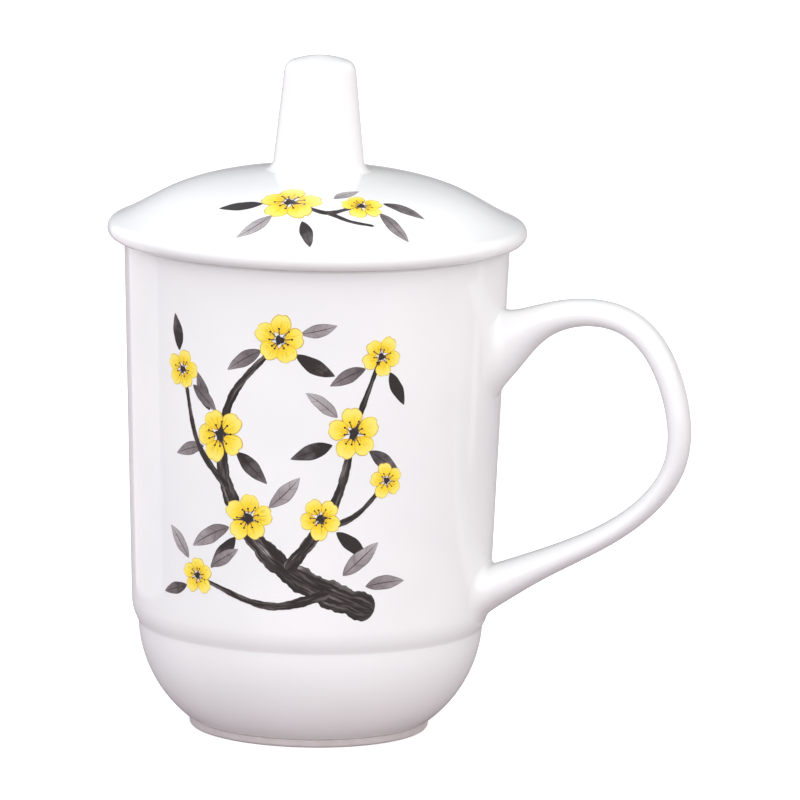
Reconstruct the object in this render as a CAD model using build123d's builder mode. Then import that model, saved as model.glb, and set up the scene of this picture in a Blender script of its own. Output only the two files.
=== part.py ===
from build123d import *
import os
from collections import namedtuple
from math import cos, exp, pi, sin

# Lidded porcelain tea cup: a slightly flared cup with a stepped, rounded base and a loop handle, and a loose
# domed lid with a tall hollow knob. Sizes are in millimetres. The axis of the cup is Z and its foot stands
# on Z = 0. The handle points along +X, and the printed side of the cup faces -Y.

# Cup
cup_height = 106.95
mouth_radius = 41.73
wall = 3.2
rim_flat = 0.6
shoulder_radius = 38.95
shoulder_drop = 5.0
step_height = 23.0
step_inset = 1.5
bowl_bulge = 2.75
floor_thickness = 4.2
inside_corner = 20.0

# Unglazed foot ring
foot_radius = 26.0
foot_width = 3.4
foot_height = 1.8
foot_round = 0.7

# Lid
lid_overhang = 3.68
lid_edge_radius = 2.1
lid_edge_slope = 0.41
lid_wall = 3.6
lid_cove = 5.1
dome_rise = 15.35
dome_start_slope = 0.12
dome_mid_inset = 12.41
dome_mid_rise = 9.9

# Locating ring under the lid
ring_depth = 8.0
ring_thickness = 3.2
ring_round = 1.2
ring_round_limit = 0.45
seat_clearance = 0.8

# Hollow knob on the lid
knob_height = 24.8
knob_base_radius = 10.0
knob_top_radius = 7.5
knob_wall = 3.0
knob_edge_round = 2.6
knob_crown = 1.0

# Handle: places along its centre line, with their reach out from the mouth. The crown hangs below the rim,
# and the top root, the brow and the turn below the crown. The low root stands above the shoulder, and the
# arm and the heel above the low root.
handle_crown_drop = 13.85
handle_crown_reach = 12.5
handle_top_root_drop = 7.6
handle_top_root_slope = 1.25
handle_brow_drop = 1.1
handle_brow_reach = 27.1
handle_turn_drop = 16.9
handle_turn_reach = 37.5
handle_bend_share = 0.47
handle_bend_reach = 37.5
handle_heel_rise = 19.4
handle_heel_reach = 31.1
handle_arm_rise = 6.3
handle_arm_reach = 9.6
handle_low_root_rise = 4.2
handle_low_root_slope = 0.78
handle_root_depth = 7.0

# Handle: its oval section, how much thinner that is at the low end than at the top, and how much deeper and
# wider it grows where it joins the wall
handle_thickness = 4.7
handle_taper = 2.5
handle_width = 10.5
handle_top_swell = 12.9
handle_top_fade = 5.6
handle_low_swell = 7.1
handle_low_fade = 12.8
handle_width_swell = 7.0
handle_stations = 19

# Printed enamel: a spray of five-petalled blossoms on the cup, and a smaller one on the lid
film = 0.1
film_clearance = 0.01
print_square = 1.0
petals = 5
petal_offset_share = 0.28
petal_radius_share = 0.21
centre_radius_share = 0.11
leaf_slimness = 0.36
cup_print_gap = 3.0
cup_print_rim_gap = 6.95
cup_print_squares = 69.0
lid_print_squares = 45.2
lid_print_angle = 14.0

# Marks of a print, in squares of its drawing grid. Across is measured round the cup or lid from the middle of
# the print. Along is the height above the lower edge of the cup print, or the distance out from the lid's
# axis: the grid is stretched that way, so that its squares fill the height of the print or the lid's radius.
Blossom = namedtuple("Blossom", "across along diameter turn")
Leaf = namedtuple("Leaf", "across along length angle")
Stroke = namedtuple("Stroke", "across along half_width")

cup_blossom_marks = [
    Blossom(1.0, 60.5, 11.5, 10),
    Blossom(-12.5, 39.0, 12.0, 40),
    Blossom(-22.5, 52.0, 9.0, 5),
    Blossom(17.0, 40.5, 11.5, 25),
    Blossom(23.0, 57.0, 9.0, 60),
    Blossom(-5.5, 21.5, 11.0, 15),
    Blossom(10.0, 22.0, 9.5, 50),
    Blossom(24.5, 30.0, 8.0, 30),
    Blossom(-18.0, 7.5, 8.5, 20),
]
cup_leaf_marks = [
    Leaf(-3.0, 58.0, 9.0, 205),
    Leaf(4.5, 57.5, 9.5, -35),
    Leaf(5.5, 62.0, 8.0, 8),
    Leaf(-8.5, 35.5, 9.5, -38),
    Leaf(-15.0, 44.0, 8.5, 120),
    Leaf(-16.5, 36.0, 8.0, 190),
    Leaf(12.5, 38.0, 9.5, 198),
    Leaf(20.5, 36.5, 9.0, -30),
    Leaf(13.5, 44.0, 8.5, 135),
    Leaf(-10.0, 19.0, 10.5, 200),
    Leaf(-8.5, 17.0, 9.5, 235),
    Leaf(-1.0, 24.0, 9.5, 40),
    Leaf(13.5, 19.0, 9.0, -35),
    Leaf(-21.0, 5.0, 7.5, 200),
    Leaf(-20.5, 11.0, 8.5, 125),
    Leaf(-14.5, 10.0, 8.0, 35),
    Leaf(15.0, 9.5, 10.5, 42),
    Leaf(20.0, 7.0, 9.0, 12),
    Leaf(19.5, 54.5, 8.5, 200),
    Leaf(25.0, 53.5, 8.0, -65),
    Leaf(-19.5, 49.0, 8.0, -35),
    Leaf(-23.5, 56.0, 8.0, 95),
]
cup_strokes = [
    [
        Stroke(22.0, 1.5, 3.2),
        Stroke(12.0, 5.5, 3.0),
        Stroke(3.0, 10.5, 2.5),
        Stroke(-5.0, 18.0, 2.0),
        Stroke(-10.5, 27.5, 1.5),
        Stroke(-12.0, 38.0, 1.1),
        Stroke(-9.0, 48.5, 0.8),
        Stroke(0.5, 59.5, 0.5),
    ],
    [
        Stroke(3.0, 10.5, 1.5),
        Stroke(9.5, 19.0, 1.2),
        Stroke(14.5, 29.0, 0.9),
        Stroke(17.0, 40.0, 0.7),
        Stroke(22.5, 56.0, 0.4),
    ],
    [Stroke(-10.5, 27.5, 0.9), Stroke(-17.5, 35.5, 0.6), Stroke(-22.0, 51.0, 0.4)],
    [Stroke(9.5, 19.0, 0.8), Stroke(17.5, 22.5, 0.6), Stroke(24.0, 29.0, 0.4)],
    [Stroke(12.0, 5.5, 1.2), Stroke(1.0, 2.5, 0.8), Stroke(-17.0, 7.0, 0.4)],
]

lid_blossom_marks = [Blossom(-7.0, 27.5, 14.0, 20), Blossom(8.5, 29.0, 9.5, 50)]
lid_leaf_marks = [
    Leaf(-13.0, 29.0, 9.5, 188),
    Leaf(-11.0, 33.0, 9.0, 235),
    Leaf(-4.5, 34.5, 8.0, 300),
    Leaf(12.5, 32.0, 9.5, -35),
    Leaf(13.5, 28.5, 9.0, 10),
    Leaf(2.5, 25.5, 7.5, 62),
]
lid_strokes = [
    [Stroke(-7.0, 27.5, 0.5), Stroke(1.0, 31.5, 0.7), Stroke(8.5, 29.0, 0.4)],
    [Stroke(1.0, 31.5, 0.6), Stroke(6.0, 34.5, 0.5), Stroke(11.0, 36.0, 0.3)],
]

# Sizes that follow from the ones above
shoulder_height = step_height + shoulder_drop
crease_radius = shoulder_radius - step_inset
wall_taper = (mouth_radius - shoulder_radius) / (cup_height - shoulder_height)
floor_top = foot_height + floor_thickness
mouth_inner_radius = mouth_radius - wall
rim_round = (wall - rim_flat) / 2
lid_radius = mouth_radius + lid_overhang
dome_mid_radius = lid_radius - dome_mid_inset
ring_radius = mouth_inner_radius - seat_clearance
ring_inner_radius = ring_radius - ring_thickness
knob_bore_radius = knob_base_radius - knob_wall
dome_top = cup_height + dome_rise
knob_top = dome_top + knob_height
knob_ceiling = knob_top - knob_crown - knob_wall
handle_crown_height = cup_height - handle_crown_drop
handle_top_root_height = handle_crown_height - handle_top_root_drop
handle_brow_height = handle_crown_height - handle_brow_drop
handle_turn_height = handle_crown_height - handle_turn_drop
handle_low_root_height = shoulder_height + handle_low_root_rise
handle_arm_height = handle_low_root_height + handle_arm_rise
handle_heel_height = handle_low_root_height + handle_heel_rise
handle_span = handle_crown_height - handle_low_root_height
handle_bend_height = handle_low_root_height + handle_span * handle_bend_share
cup_print_foot = shoulder_height + cup_print_gap
cup_print_step = (cup_height - cup_print_rim_gap - cup_print_foot) / cup_print_squares
lid_print_step = lid_radius / lid_print_squares


def wall_radius(height):
    """Outer radius of the flared wall at a height above its shoulder."""
    return mouth_radius - wall_taper * (cup_height - height)


def cup_outside():
    """Draws the outside of the cup, from the edge of its foot up to its mouth, in the active line."""
    wall_line = Line((shoulder_radius, shoulder_height), (mouth_radius, cup_height))
    TangentArc((shoulder_radius, shoulder_height), (crease_radius, step_height), tangent=(wall_line % 0) * -1)
    SagittaArc((foot_radius, foot_height), (crease_radius, step_height), -bowl_bulge)
    return wall_line


def dome_outside(lift):
    """Draws the upper side of the lid in the active line, raised by lift, from the knob out to the edge."""
    edge_centre = (lid_radius - lid_edge_radius, cup_height + lid_edge_radius)
    edge_normal = Vector(lid_edge_slope, 1).normalized() * lid_edge_radius
    edge_start = (edge_centre[0] + edge_normal.X, edge_centre[1] + edge_normal.Y + lift)
    return Spline(
        (knob_base_radius, dome_top + lift),
        (dome_mid_radius, cup_height + dome_mid_rise + lift),
        edge_start,
        tangents=((1, -dome_start_slope), (1, -lid_edge_slope)),
    )


# Cup body: floor, rounded base, step and flared wall
with BuildPart() as cup_body:
    with BuildSketch(Plane.XZ):
        with BuildLine():
            wall_line = cup_outside()
            Line((0, foot_height), (foot_radius, foot_height))
            inside = FilletPolyline(
                (mouth_inner_radius, cup_height),
                (wall_radius(floor_top) - wall, floor_top),
                (0, floor_top),
                radius=inside_corner,
            )
            Line(wall_line @ 1, inside @ 0)
            Line(inside @ 1, (0, foot_height))
        make_face()
    revolve(axis=Axis.Z)
    rim = cup_body.edges().filter_by(GeomType.CIRCLE).group_by(Axis.Z)[-1]
    fillet(rim, radius=rim_round)

# Cup envelope: the outside of the cup filled in, which trims the handle's roots
with BuildPart() as cup_envelope:
    with BuildSketch(Plane.XZ):
        with BuildLine():
            wall_line = cup_outside()
            Polyline(wall_line @ 1, (0, cup_height), (0, foot_height), (foot_radius, foot_height))
        make_face()
    revolve(axis=Axis.Z)

# Foot ring, left without glaze
with BuildPart() as foot_ring:
    with BuildSketch(Plane.XZ):
        with Locations((foot_radius, 0)):
            Rectangle(foot_width, foot_height, align=(Align.MAX, Align.MIN))
    revolve(axis=Axis.Z)
    foot_edges = foot_ring.edges().filter_by(GeomType.CIRCLE).group_by(Axis.Z)[0]
    fillet(foot_edges, radius=foot_round)

# Handle: ellipses lofted along a curve that leaves the wall, bends round and comes back to it
def handle_place(reach, height):
    """A place on the handle's centre line, reaching out from the mouth at a height above the foot."""
    return Vector(mouth_radius + reach, 0, height)


def handle_root(height):
    """The place where the handle's centre line meets the wall, at a height above the foot."""
    return Vector(wall_radius(height), 0, height)


top_root_way = Vector(1, 0, handle_top_root_slope).normalized()
low_root_way = Vector(-1, 0, -handle_low_root_slope).normalized()
with BuildLine() as handle_line:
    Spline(
        handle_root(handle_top_root_height) - top_root_way * handle_root_depth,
        handle_place(handle_crown_reach, handle_crown_height),
        handle_place(handle_brow_reach, handle_brow_height),
        handle_place(handle_turn_reach, handle_turn_height),
        handle_place(handle_bend_reach, handle_bend_height),
        handle_place(handle_heel_reach, handle_heel_height),
        handle_place(handle_arm_reach, handle_arm_height),
        handle_root(handle_low_root_height) + low_root_way * handle_root_depth,
        tangents=(top_root_way, low_root_way),
        tangent_scalars=(1, 1),
    )


def root_share(distance, fade):
    """How much of a root's swelling is left at a distance from the wall along the handle."""
    return exp(-max(distance, 0.0) / fade)


with BuildPart() as handle:
    handle_curve = handle_line.edges()[0]
    for station in range(handle_stations):
        place = (1 - cos(pi * station / (handle_stations - 1))) / 2
        near_top = root_share(place * handle_curve.length - handle_root_depth, handle_top_fade)
        near_low = root_share((1 - place) * handle_curve.length - handle_root_depth, handle_low_fade)
        thickness = handle_thickness + handle_taper * (0.5 - place)
        thickness += handle_top_swell * near_top + handle_low_swell * near_low
        width = handle_width + handle_width_swell * (near_top + near_low)
        along = handle_curve % place
        facing = along * (1 - near_top - near_low) + Vector(near_top - near_low, 0, 0)
        with BuildSketch(Plane(origin=handle_curve @ place, x_dir=(0, 1, 0), z_dir=facing)):
            Ellipse(width / 2, thickness / 2)
    loft()
    add(cup_envelope.part, mode=Mode.SUBTRACT)

# Lid body: dome with a rounded overhanging edge and a flat seat for the cup's rim
with BuildPart() as lid_body:
    with BuildSketch(Plane.XZ):
        with BuildLine():
            dome = dome_outside(0)
            edge = ThreePointArc(
                dome @ 1,
                (lid_radius, cup_height + lid_edge_radius),
                (lid_radius - lid_edge_radius, cup_height),
            )
            seat = Line(edge @ 1, (ring_inner_radius, cup_height))
            ceiling = Spline(
                (knob_bore_radius, dome_top - lid_wall),
                (ring_inner_radius - lid_cove, cup_height + dome_mid_rise - lid_wall),
                tangents=((1, -dome_start_slope), (1, -lid_edge_slope)),
            )
            TangentArc(ceiling @ 1, seat @ 1, tangent=(1, -lid_edge_slope))
            Polyline(ceiling @ 0, (knob_bore_radius, dome_top), dome @ 0)
        make_face()
    revolve(axis=Axis.Z)

# Locating ring, which keeps the lid centred in the cup's mouth
with BuildPart() as lid_locating_ring:
    with BuildSketch(Plane.XZ):
        with Locations((ring_radius, cup_height)):
            Rectangle(ring_thickness, ring_depth, align=(Align.MAX, Align.MAX))
    revolve(axis=Axis.Z)
    ring_edges = lid_locating_ring.edges().filter_by(GeomType.CIRCLE).group_by(Axis.Z)[0]
    fillet(ring_edges, radius=min(ring_round, ring_thickness * ring_round_limit))

# Knob: a tapered hollow post with a rounded top, open below into the lid
with BuildPart() as lid_knob:
    with BuildSketch(Plane.XZ) as knob_section:
        with BuildLine():
            side = Line((knob_base_radius, dome_top), (knob_top_radius, knob_top - knob_crown))
            crown = TangentArc((0, knob_top), side @ 1, tangent=(1, 0))
            Polyline(
                side @ 0,
                (knob_bore_radius, dome_top),
                (knob_top_radius - knob_wall, knob_ceiling),
                (0, knob_ceiling),
                crown @ 0,
            )
        make_face()
        fillet(knob_section.vertices().sort_by_distance(side @ 1)[0], radius=knob_edge_round)
    revolve(axis=Axis.Z)


def in_millimetres(marks, step):
    """Marks in millimetres in place of squares, with a step along for each square."""
    return [
        mark._make([mark.across * print_square, mark.along * step, mark[2] * print_square, *mark[3:]])
        for mark in marks
    ]


def wall_spot(across, along):
    """Where a place on the cup print lies in the front view of the cup."""
    height = cup_print_foot + along
    radius = wall_radius(height)
    return Vector(radius * sin(across / radius), height)


def dome_spot(across, along):
    """Where a place on the lid print lies in the view of the lid from above."""
    angle = lid_print_angle * pi / 180 + across / along
    return Vector(along * sin(angle), -along * cos(angle))


def blossom_centres(spot_at, marks):
    """Draws the dark round centre of each flower."""
    with BuildSketch() as centres:
        for mark in marks:
            with Locations(spot_at(mark.across, mark.along)):
                Circle(mark.diameter * centre_radius_share)
    return centres.sketch


def blossoms(spot_at, marks):
    """Draws flowers of five round petals, without their centres."""
    with BuildSketch() as flowers:
        for mark in marks:
            with Locations(spot_at(mark.across, mark.along)):
                Circle(mark.diameter * petal_offset_share)
                with PolarLocations(mark.diameter * petal_offset_share, petals, start_angle=mark.turn):
                    Circle(mark.diameter * petal_radius_share)
        add(blossom_centres(spot_at, marks), mode=Mode.SUBTRACT)
    return flowers.sketch


def branch(spot_at, strokes, flowers):
    """Draws tapering brush strokes, left out where the flowers lie over them."""
    with BuildSketch() as twigs:
        for stroke in strokes:
            spots = [spot_at(point.across, point.along) for point in stroke]
            before = [spots[0], *spots[:-1]]
            after = [*spots[1:], spots[-1]]
            sides = [
                (end - start).normalized().rotate(Axis.Z, 90) * point.half_width
                for start, end, point in zip(before, after, stroke)
            ]
            with BuildLine():
                left = Spline(*[spot + side for spot, side in zip(spots, sides)])
                right = Spline(*[spot - side for spot, side in zip(spots, sides)])
                Line(left @ 0, right @ 0)
                Line(left @ 1, right @ 1)
            make_face()
        add(flowers, mode=Mode.SUBTRACT)
    return twigs.sketch


def leaves(spot_at, marks, above):
    """Draws slim pointed leaves, left out where the other marks lie over them."""
    with BuildSketch() as blades:
        for mark in marks:
            root = spot_at(mark.across, mark.along)
            tip = root + Vector(mark.length, 0).rotate(Axis.Z, mark.angle)
            belly = mark.length * leaf_slimness / 2
            with BuildLine():
                SagittaArc(root, tip, belly)
                SagittaArc(root, tip, -belly)
            make_face()
        add(above, mode=Mode.SUBTRACT)
    return blades.sketch


def enamel(sketch, plane, depth, film_part):
    """Presses a drawing on a plane through a film of enamel, and keeps the film inside its outline."""
    with BuildPart() as mark:
        with BuildSketch(plane):
            add(sketch)
        extrude(amount=depth)
        add(film_part, mode=Mode.INTERSECT)
    return mark


# Enamel film on the wall, as thick as the print, as tall as the straight wall and just clear of it
film_inside = film_clearance
film_outside = film_clearance + film
with BuildPart() as wall_film:
    with BuildSketch(Plane.XZ):
        with BuildLine():
            Polyline(
                (shoulder_radius + film_inside, shoulder_height),
                (mouth_radius + film_inside, cup_height),
                (mouth_radius + film_outside, cup_height),
                (shoulder_radius + film_outside, shoulder_height),
                close=True,
            )
        make_face()
    revolve(axis=Axis.Z)

# Enamel film on the upper side of the lid
with BuildPart() as dome_film:
    with BuildSketch(Plane.XZ):
        with BuildLine():
            below = dome_outside(film_inside)
            above = dome_outside(film_outside)
            Line(below @ 0, above @ 0)
            Line(below @ 1, above @ 1)
        make_face()
    revolve(axis=Axis.Z)

def print_pieces(spot_at, flower_marks, leaf_marks, strokes, plane, depth, film_part):
    """The four enamels of one print, each pressed through the film from a drawing on the plane."""
    flowers = blossoms(spot_at, flower_marks)
    centres = blossom_centres(spot_at, flower_marks)
    twigs = branch(spot_at, strokes, [flowers, centres])
    blades = leaves(spot_at, leaf_marks, [flowers, centres, twigs])
    drawings = {"blossoms": flowers, "centres": centres, "branch": twigs, "leaves": blades}
    return {name: enamel(drawing, plane, depth, film_part) for name, drawing in drawings.items()}


# Prints: the cup's is drawn in the front view, and the lid's in the view from above
cup_print = print_pieces(
    wall_spot,
    in_millimetres(cup_blossom_marks, cup_print_step),
    in_millimetres(cup_leaf_marks, cup_print_step),
    [in_millimetres(stroke, cup_print_step) for stroke in cup_strokes],
    Plane.XZ,
    max(mouth_radius, shoulder_radius) + film_clearance + 2 * film,
    wall_film.part,
)
lid_print = print_pieces(
    dome_spot,
    in_millimetres(lid_blossom_marks, lid_print_step),
    in_millimetres(lid_leaf_marks, lid_print_step),
    [in_millimetres(stroke, lid_print_step) for stroke in lid_strokes],
    Plane.XY.offset(cup_height),
    dome_rise + film_clearance + 2 * film,
    dome_film.part,
)

pieces = {
    "cup_body": cup_body,
    "foot_ring": foot_ring,
    "handle": handle,
    "lid_body": lid_body,
    "lid_locating_ring": lid_locating_ring,
    "lid_knob": lid_knob,
}
pieces.update({f"cup_print_{name}": piece for name, piece in cup_print.items()})
pieces.update({f"lid_print_{name}": piece for name, piece in lid_print.items()})
os.makedirs("parts", exist_ok=True)
for name, piece in pieces.items():
    piece.part.label = name
    export_step(piece.part, f"parts/{name}.step")
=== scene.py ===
"""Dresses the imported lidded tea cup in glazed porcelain, bare clay and painted enamel, in studio light.

Sizes are in millimetres, as on the maker's drawing, and become metres when a mesh is made. The axis of the
cup is Z, its foot stands on Z = 0, the handle points along +X and the painted side faces -Y.
"""

import logging
import math
from dataclasses import dataclass, field
from enum import Enum

import bmesh
import bpy
import numpy as np
from mathutils import Matrix, Vector


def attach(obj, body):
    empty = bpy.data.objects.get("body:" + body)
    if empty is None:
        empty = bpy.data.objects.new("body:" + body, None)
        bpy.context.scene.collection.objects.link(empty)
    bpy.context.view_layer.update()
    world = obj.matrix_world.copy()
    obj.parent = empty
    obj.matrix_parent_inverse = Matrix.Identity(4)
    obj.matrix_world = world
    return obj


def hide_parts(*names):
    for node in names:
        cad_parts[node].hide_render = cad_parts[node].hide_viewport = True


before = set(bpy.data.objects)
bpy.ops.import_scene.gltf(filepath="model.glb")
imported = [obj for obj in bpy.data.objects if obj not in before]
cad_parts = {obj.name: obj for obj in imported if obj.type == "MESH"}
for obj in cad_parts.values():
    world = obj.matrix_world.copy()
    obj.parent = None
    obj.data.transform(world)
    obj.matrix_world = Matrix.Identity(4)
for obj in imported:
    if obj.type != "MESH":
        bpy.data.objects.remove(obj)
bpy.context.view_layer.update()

MILLIMETRE = 0.001
SEGMENTS = 256
GLAZE_STEP = 0.05
POLE_REACH = 1e-7
SHARP_ANGLE = math.radians(40)
GLASS_INDEX = 1.52
EDGE_SHARE = 0.99
WHITE = (1.0, 1.0, 1.0, 1.0)
LOG = logging.getLogger("tea_cup")
Array = np.ndarray
Socket = bpy.types.NodeSocket


class Body(Enum):
    """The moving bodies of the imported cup."""

    CUP = "cup"
    LID_SEAT = "lid_seat"
    LID = "lid"


class Slot(Enum):
    """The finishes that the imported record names."""

    GLAZE = "glaze"
    BARE_FOOT = "bare_foot"
    YELLOW = "enamel_yellow"
    INK = "enamel_ink"
    GREY = "enamel_grey"


# Lines and grids


def unit(vectors: Array) -> Array:
    """Vectors brought to a length of one."""
    return vectors / np.linalg.norm(vectors, axis=-1, keepdims=True)


def lengths_along(line: Array) -> Array:
    """How far each point of a line lies from its start, along the line."""
    return np.concatenate([[0.0], np.cumsum(np.linalg.norm(np.diff(line, axis=0), axis=1))])


def points_at(at: Array, along: Array, line: Array) -> Array:
    """The flat points of a line at places along it."""
    return np.stack([np.interp(at, along, line[:, axis]) for axis in (0, 1)], axis=-1)


def directed(angle: Array, out: Array | float, aside: Array | float) -> Array:
    """Flat points at distances out along the direction of an angle and aside to its left."""
    x = np.cos(angle) * out - np.sin(angle) * aside
    return np.stack([x, np.sin(angle) * out + np.cos(angle) * aside], axis=-1)


def spline_line(
    points: Array, start_way: Array, end_way: Array, count: int, pace: float | None = None
) -> Array:
    """A smooth line through points that leaves the first and reaches the last in given directions.

    Formula: a cubic spline in each coordinate over the sums of the chords. Its inner slopes keep the second
    derivative continuous, which is one set of linear equations. Its end slopes have the given directions,
    and the given pace as size, or else the size of the slope of the curve through the nearest points, four
    at most.

    Args:
        points: The points to pass through, one a row.
        start_way: Direction at the first point.
        end_way: Direction at the last point.
        count: How many points to return, at even steps of the chord sum.
        pace: Size of both end slopes, where it is given.

    Returns:
        The points of the line, one a row.
    """
    chords = np.linalg.norm(np.diff(points, axis=0), axis=1)
    knots = lengths_along(points)
    near = min(len(points), 4)
    first = np.polyfit(knots[:near] - knots[0], points[:near], near - 1)[-2]
    last = np.polyfit(knots[-near:] - knots[-1], points[-near:], near - 1)[-2]
    sides = np.zeros_like(points)
    sides[0] = unit(start_way) * (pace or np.linalg.norm(first))
    sides[-1] = unit(end_way) * (pace or np.linalg.norm(last))
    steps = np.diff(points, axis=0) / chords[:, None] ** 2
    sides[1:-1] = 3 * (steps[:-1] + steps[1:])
    system = np.eye(len(points))
    inner = np.arange(1, len(points) - 1)
    system[inner, inner - 1] = 1 / chords[:-1]
    system[inner, inner] = 2 / chords[:-1] + 2 / chords[1:]
    system[inner, inner + 1] = 1 / chords[1:]
    slopes = np.linalg.solve(system, sides)
    at = np.linspace(0.0, knots[-1], count)
    piece = np.clip(np.searchsorted(knots, at, side="right") - 1, 0, len(chords) - 1)
    span = chords[piece][:, None]
    share = (at - knots[piece])[:, None] / span
    rest = 1 - share
    ends = rest**2 * (1 + 2 * share) * points[piece] + share**2 * (1 + 2 * rest) * points[piece + 1]
    return ends + span * share * rest * (rest * slopes[piece] - share * slopes[piece + 1])


def arc_points(centre: Array | tuple, radius: float, start: float, end: float, count: int = 32) -> Array:
    """Points of an arc in the (radius, height) half plane, at even steps of its angle in degrees."""
    angle = np.radians(np.linspace(start, end, count))
    return np.asarray(centre) + directed(angle, radius, 0.0)


def bulged_points(start: Array, end: Array, bulge: float, count: int = 48) -> Array:
    """Points of the arc between two points that stands out to the right of its way by a bulge.

    Formula: the radius is (c^2 / 4 + b^2) / (2 b) for a chord c and a bulge b, and the centre lies on the
    middle normal of the chord.

    Args:
        start: First point.
        end: Last point.
        bulge: How far the arc's middle lies from its chord.
        count: How many points.

    Returns:
        The points, one a row.
    """
    chord = end - start
    length = np.linalg.norm(chord)
    right = np.array([chord[1], -chord[0]]) / length
    radius = (length**2 / 4 + bulge**2) / (2 * bulge)
    centre = (start + end) / 2 - right * (radius - bulge)
    first, last = (math.degrees(math.atan2(*(point - centre)[::-1])) for point in (start, end))
    return arc_points(centre, radius, first, last, count)


def eased_corner(first: Array, second: Array, reach: float, count: int = 32) -> Array:
    """Joins two lines that meet in a corner by an easy curve.

    Formula: each line is cut off at a reach from the corner, and a quadratic Bezier curve with the corner
    as its middle control point joins the cuts.

    Args:
        first: The line that ends in the corner, one point a row.
        second: The line that starts in the corner.
        reach: How far from the corner the lines are cut.
        count: How many points the curve has.

    Returns:
        The joined line.
    """
    before = first[lengths_along(first)[-1] - lengths_along(first) > reach]
    after = second[lengths_along(second) > reach]
    share = np.linspace(0.0, 1.0, count)[:, None]
    curve = (1 - share) ** 2 * before[-1] + 2 * share * (1 - share) * first[-1] + share**2 * after[0]
    return np.concatenate([before[:-1], curve, after[1:]])


def ring_section(
    inner: float, outer: float, bottom: float, top: float, rounding: float, count: int
) -> Array:
    """The closed section of a ring with rounded lower edges.

    Formula: down the inner side, a quarter circle at each lower edge, up the outer side and back.

    Args:
        inner: Inner radius.
        outer: Outer radius.
        bottom: Height of the lower side.
        top: Height of the upper side.
        rounding: Radius of the lower edges.
        count: Points on each quarter circle.

    Returns:
        Rows of (radius, height).
    """
    low = bottom + rounding
    inside = arc_points((inner + rounding, low), rounding, 180, 270, count)
    outside = arc_points((outer - rounding, low), rounding, 270, 360, count)
    return np.concatenate([[[inner, top]], inside, outside, [[outer, top], [inner, top]]])


def glazed_rows(profile: Array, soften: float, rows: int, closed: bool = False) -> tuple[Array, Array]:
    """Softens the corners of a profile as a coat of glaze does, and chooses its rows.

    Formula: the line is laid out at even steps and blurred by a bell curve that is cut off at four times
    its width, mirrored through its ends so that they stay where they are. Rows then lie at even steps of
    the line's length plus its turning, each counted as a share of its whole.

    Args:
        profile: Points of the line, one a row, with the outside of the piece on its right.
        soften: Width of the bell curve in millimetres.
        rows: How many rows to return.
        closed: Whether the line comes back to its first point.

    Returns:
        The rows as (radius, height), and the bend of the line there in radians a millimetre, above zero on
        outward edges and below it in hollows.
    """
    along = lengths_along(profile)
    even = np.linspace(0.0, along[-1], int(along[-1] / GLAZE_STEP) + 1)
    line = points_at(even, along, profile)
    reach = int(4 * soften / GLAZE_STEP)
    bell = np.exp(-0.5 * (np.arange(-reach, reach + 1) * GLAZE_STEP / soften) ** 2)
    bell = bell / bell.sum()
    before, after = 2 * line[0] - line[reach:0:-1], 2 * line[-1] - line[-2 : -reach - 2 : -1]
    if closed:
        before, after = line[-reach - 1 : -1], line[1 : reach + 1]
    padded = np.concatenate([before, line, after])
    soft = np.stack([np.convolve(padded[:, axis], bell, mode="valid") for axis in (0, 1)], axis=-1)
    way = np.gradient(soft, axis=0)
    angle = np.unwrap(np.arctan2(way[:, 1], way[:, 0]))
    bend = np.gradient(angle) / np.linalg.norm(way, axis=1)
    length = lengths_along(soft)
    turning = np.concatenate([[0.0], np.cumsum(np.abs(np.diff(angle)))])
    measure = length / length[-1] + turning / turning[-1]
    at = np.linspace(0.0, measure[-1], rows, endpoint=not closed)
    return points_at(at, measure, soft), np.interp(at, measure, bend)


def turned(profile: Array, segments: int = SEGMENTS) -> Array:
    """A grid made by turning a profile about the axis.

    Formula: a point at radius r and height z goes to (r cos t, r sin t, z) for even steps of t.

    Args:
        profile: Rows of (radius, height).
        segments: Steps round the axis.

    Returns:
        Grid of points, with the profile along its rows and the turn along its columns.
    """
    turn = np.linspace(0.0, 2 * np.pi, segments, endpoint=False)
    radius = profile[:, :1]
    height = np.broadcast_to(profile[:, 1:], (len(profile), segments))
    return np.stack([radius * np.cos(turn), radius * np.sin(turn), height], axis=-1)


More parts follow.
